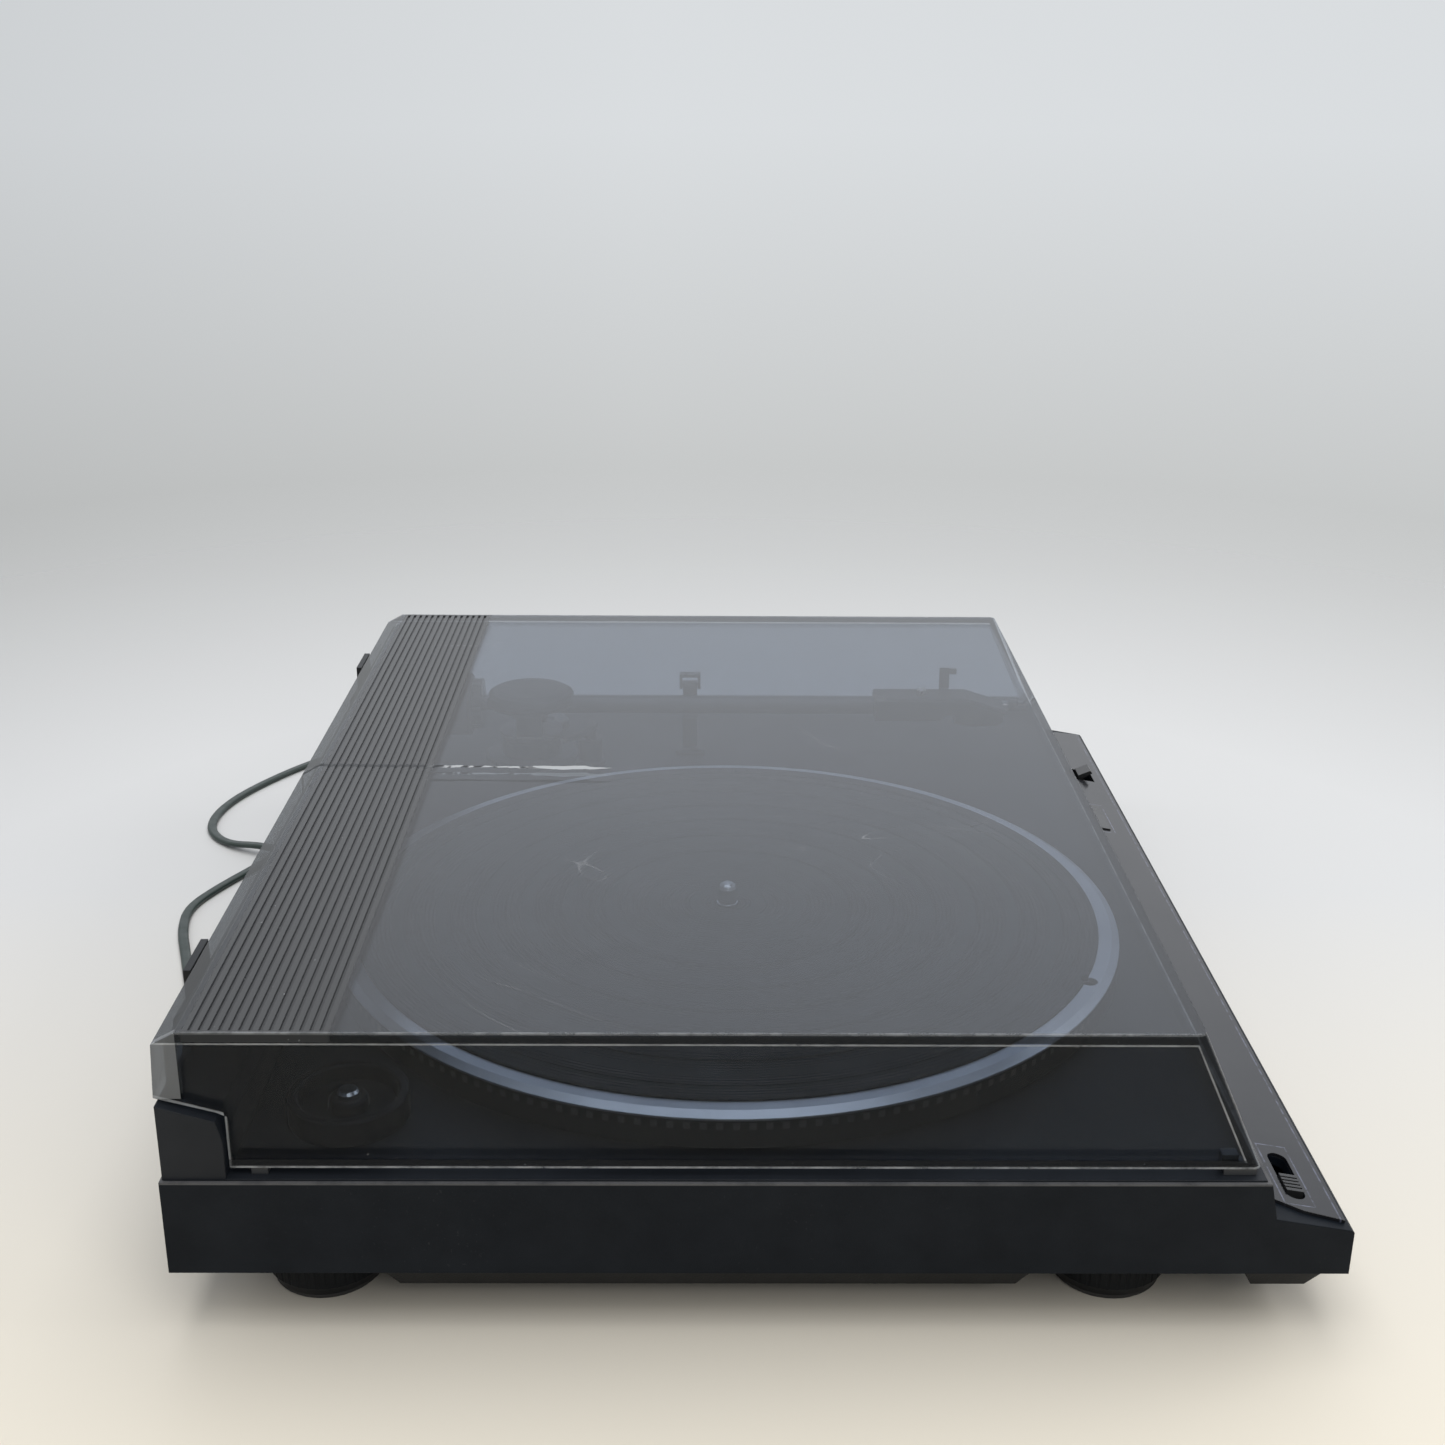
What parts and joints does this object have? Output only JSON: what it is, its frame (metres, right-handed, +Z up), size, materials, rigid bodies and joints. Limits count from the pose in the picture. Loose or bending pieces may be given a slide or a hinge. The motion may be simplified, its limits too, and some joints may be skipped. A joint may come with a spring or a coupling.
{
  "type": "turntable record player",
  "caption": "Belt-drive record player in a low dark plinth with a hinged smoke-tinted dust cover, a platter, a straight tonearm, fluted feet and a mains lead.",
  "frame": {"origin": "on the table top, under the middle of the cabinet with its hinges", "axes": "+X to the right as seen from the controls, +Y to the rear, +Z up"},
  "size_m": [0.5155, 0.4521, 0.1017],
  "materials": {
    "cabinet_black": "fine-grained satin black plastic",
    "deck_black": "satin black plastic",
    "fascia_black": "polished black plastic strip",
    "pan_black": "matt black plastic",
    "foot_black": "satin black plastic",
    "pad_rubber": "matt rubber",
    "screw_steel": "zinc-plated steel",
    "cover_smoke": "smoke-tinted see-through acrylic, polished, scuffed",
    "bumper_clear": "translucent rubber",
    "hinge_black": "satin black plastic",
    "pin_steel": "drawn steel",
    "platter_metal": "cast aluminium, dull",
    "mat_rubber": "moulded rubber with fine concentric ridges",
    "chrome": "polished",
    "bearing_brass": "sintered bush",
    "nylon_white": "natural nylon",
    "belt_rubber": "smooth ground belt",
    "motor_steel": "plated steel can",
    "arm_metal": "satin silver tube",
    "arm_black": "satin black plastic",
    "cartridge_black": "black plastic",
    "stylus_holder": "plastic with a metal tip",
    "knob_black": "polished plastic",
    "adaptor_black": "black plastic",
    "board": "laminate board",
    "transformer": "laminated steel and coil",
    "socket_metal": "plated metal",
    "cord_vinyl": "flexible vinyl, dark grey-green"
  },
  "bodies": {
    "cabinet": {"plinth_frame": "cabinet_black", "top_deck": "deck_black", "fascia_strip": "fascia_black", "base_pan": "pan_black", "foot_front_left": "foot_black", "foot_front_right": "foot_black", "foot_rear_left": "foot_black", "foot_rear_right": "foot_black", "foot_pads": "pad_rubber", "foot_screws": "screw_steel", "hinge_brackets": "hinge_black", "hinge_pins": "pin_steel", "platter_bearing": "bearing_brass", "thrust_plate": "nylon_white", "drive_belt": "belt_rubber", "motor": "motor_steel", "motor_grommets": "pad_rubber", "tonearm_base": "arm_black", "cue_housing": "arm_black", "arm_rest": "arm_black", "adaptor_peg": "chrome", "power_transformer": "transformer", "circuit_board": "board", "phono_sockets": "socket_metal", "strain_relief": "cord_vinyl", "mains_cord": "cord_vinyl", "cord_coil": "cord_vinyl", "mains_plug": "cord_vinyl", "plug_blades": "bearing_brass"},
    "cover": {"dust_cover": "cover_smoke", "cover_bumpers": "bumper_clear", "hinge_leaf_left": "hinge_black", "hinge_leaf_right": "hinge_black"},
    "platter_group": {"platter": "platter_metal", "platter_mat": "mat_rubber", "spindle": "chrome", "hub_pinion": "nylon_white"},
    "pulley_group": {"motor_pulley": "bearing_brass", "motor_shaft": "pin_steel"},
    "return_gear_body": {"return_gear": "nylon_white"},
    "return_link_body": {"return_link": "screw_steel"},
    "arm_swivel": {"arm_yoke": "arm_metal", "pivot_cap": "arm_black", "pivot_screws": "screw_steel"},
    "tonearm": {"arm_collar": "arm_metal", "arm_tube": "arm_metal", "headshell": "arm_black", "headshell_screw": "screw_steel", "finger_lift": "arm_metal", "cartridge": "cartridge_black", "stylus": "stylus_holder"},
    "counterweight_body": {"counterweight": "arm_black"},
    "tracking_ring_body": {"tracking_ring": "knob_black"},
    "arm_clip_body": {"arm_clip": "knob_black"},
    "cue_lift_body": {"cue_lift": "arm_black"},
    "cue_lever_body": {"cue_lever": "knob_black"},
    "antiskate_body": {"antiskate_dial": "knob_black"},
    "selector_body": {"speed_selector": "knob_black"},
    "stop_body": {"stop_button": "knob_black"},
    "adaptor_body": {"record_adaptor": "adaptor_black"}
  },
  "joints": [
    {"name": "cover_hinge", "type": "hinge", "parent": "cabinet", "child": "cover", "pos_m": [0, 0.1799, 0.081], "axis": [-1, 0, 0], "range_deg": [0, 62]},
    {"name": "platter_spin", "type": "hinge", "parent": "cabinet", "child": "platter_group", "pos_m": [-0.0519, 0.0061, 0.06], "axis": [0, 0, -1], "continuous": true},
    {"name": "pulley_spin", "type": "hinge", "parent": "cabinet", "child": "pulley_group", "pos_m": [-0.1311, -0.0731, 0.05], "axis": [0, 0, -1], "continuous": true},
    {"name": "return_gear_turn", "type": "hinge", "parent": "cabinet", "child": "return_gear_body", "pos_m": [-0.02225, 0.03098, 0.057], "axis": [0, 0, -1], "range_deg": [0, 16]},
    {"name": "return_link_slide", "type": "slide", "parent": "cabinet", "child": "return_link_body", "axis": [0.923, 0.3848, 0], "range_m": [0, 0.006]},
    {"name": "arm_swing", "type": "hinge", "parent": "cabinet", "child": "arm_swivel", "pos_m": [0.1385, 0.098, 0.0795], "axis": [0, 0, -1], "range_deg": [0, 48]},
    {"name": "arm_tilt", "type": "hinge", "parent": "arm_swivel", "child": "tonearm", "pos_m": [0.1385, 0.098, 0.0795], "axis": [-1, 0, 0], "range_deg": [0, 1.2]},
    {"name": "counterweight_slide", "type": "slide", "parent": "tonearm", "child": "counterweight_body", "axis": [0, 1, 0], "range_m": [0, 0.008]},
    {"name": "tracking_ring_turn", "type": "hinge", "parent": "tonearm", "child": "tracking_ring_body", "pos_m": [0.1385, 0.1229, 0.0795], "axis": [0, 1, 0], "range_deg": [0, 270]},
    {"name": "arm_clip_turn", "type": "hinge", "parent": "cabinet", "child": "arm_clip_body", "pos_m": [0.14675, 0.022, 0.0868], "axis": [0, -1, 0], "range_deg": [0, 90]},
    {"name": "cue_lever_turn", "type": "hinge", "parent": "cabinet", "child": "cue_lever_body", "pos_m": [0.1496, -0.169, 0.0335], "axis": [-1, 0, 0], "range_deg": [0, 30]},
    {"name": "cue_lift_rise", "type": "slide", "parent": "cabinet", "child": "cue_lift_body", "axis": [0, 0, 1], "range_m": [0, 0.0035]},
    {"name": "antiskate_turn", "type": "hinge", "parent": "cabinet", "child": "antiskate_body", "pos_m": [0.178, 0.092, 0.055], "axis": [0, 0, 1], "range_deg": [0, 270]},
    {"name": "speed_select", "type": "slide", "parent": "cabinet", "child": "selector_body", "axis": [1, 0, 0], "range_m": [0, 0.009]},
    {"name": "stop_press", "type": "slide", "parent": "cabinet", "child": "stop_body", "axis": [0, 0.1719, -0.9851], "range_m": [0, 0.002], "stiffness_N_per_m": 400, "springref_m": -0.001},
    {"name": "adaptor_lift", "type": "slide", "parent": "cabinet", "child": "adaptor_body", "axis": [0, 0, 1], "range_m": [0, 0.03]}
  ],
  "couplings": [
    {"joint": "pulley_spin", "follows": "platter_spin", "ratio": 13.5},
    {"joint": "return_link_slide", "follows": "return_gear_turn", "m_per_rad": 0.021464},
    {"joint": "cue_lever_turn", "follows": "cue_lift_rise", "rad_per_m": 149.45}
  ]
}
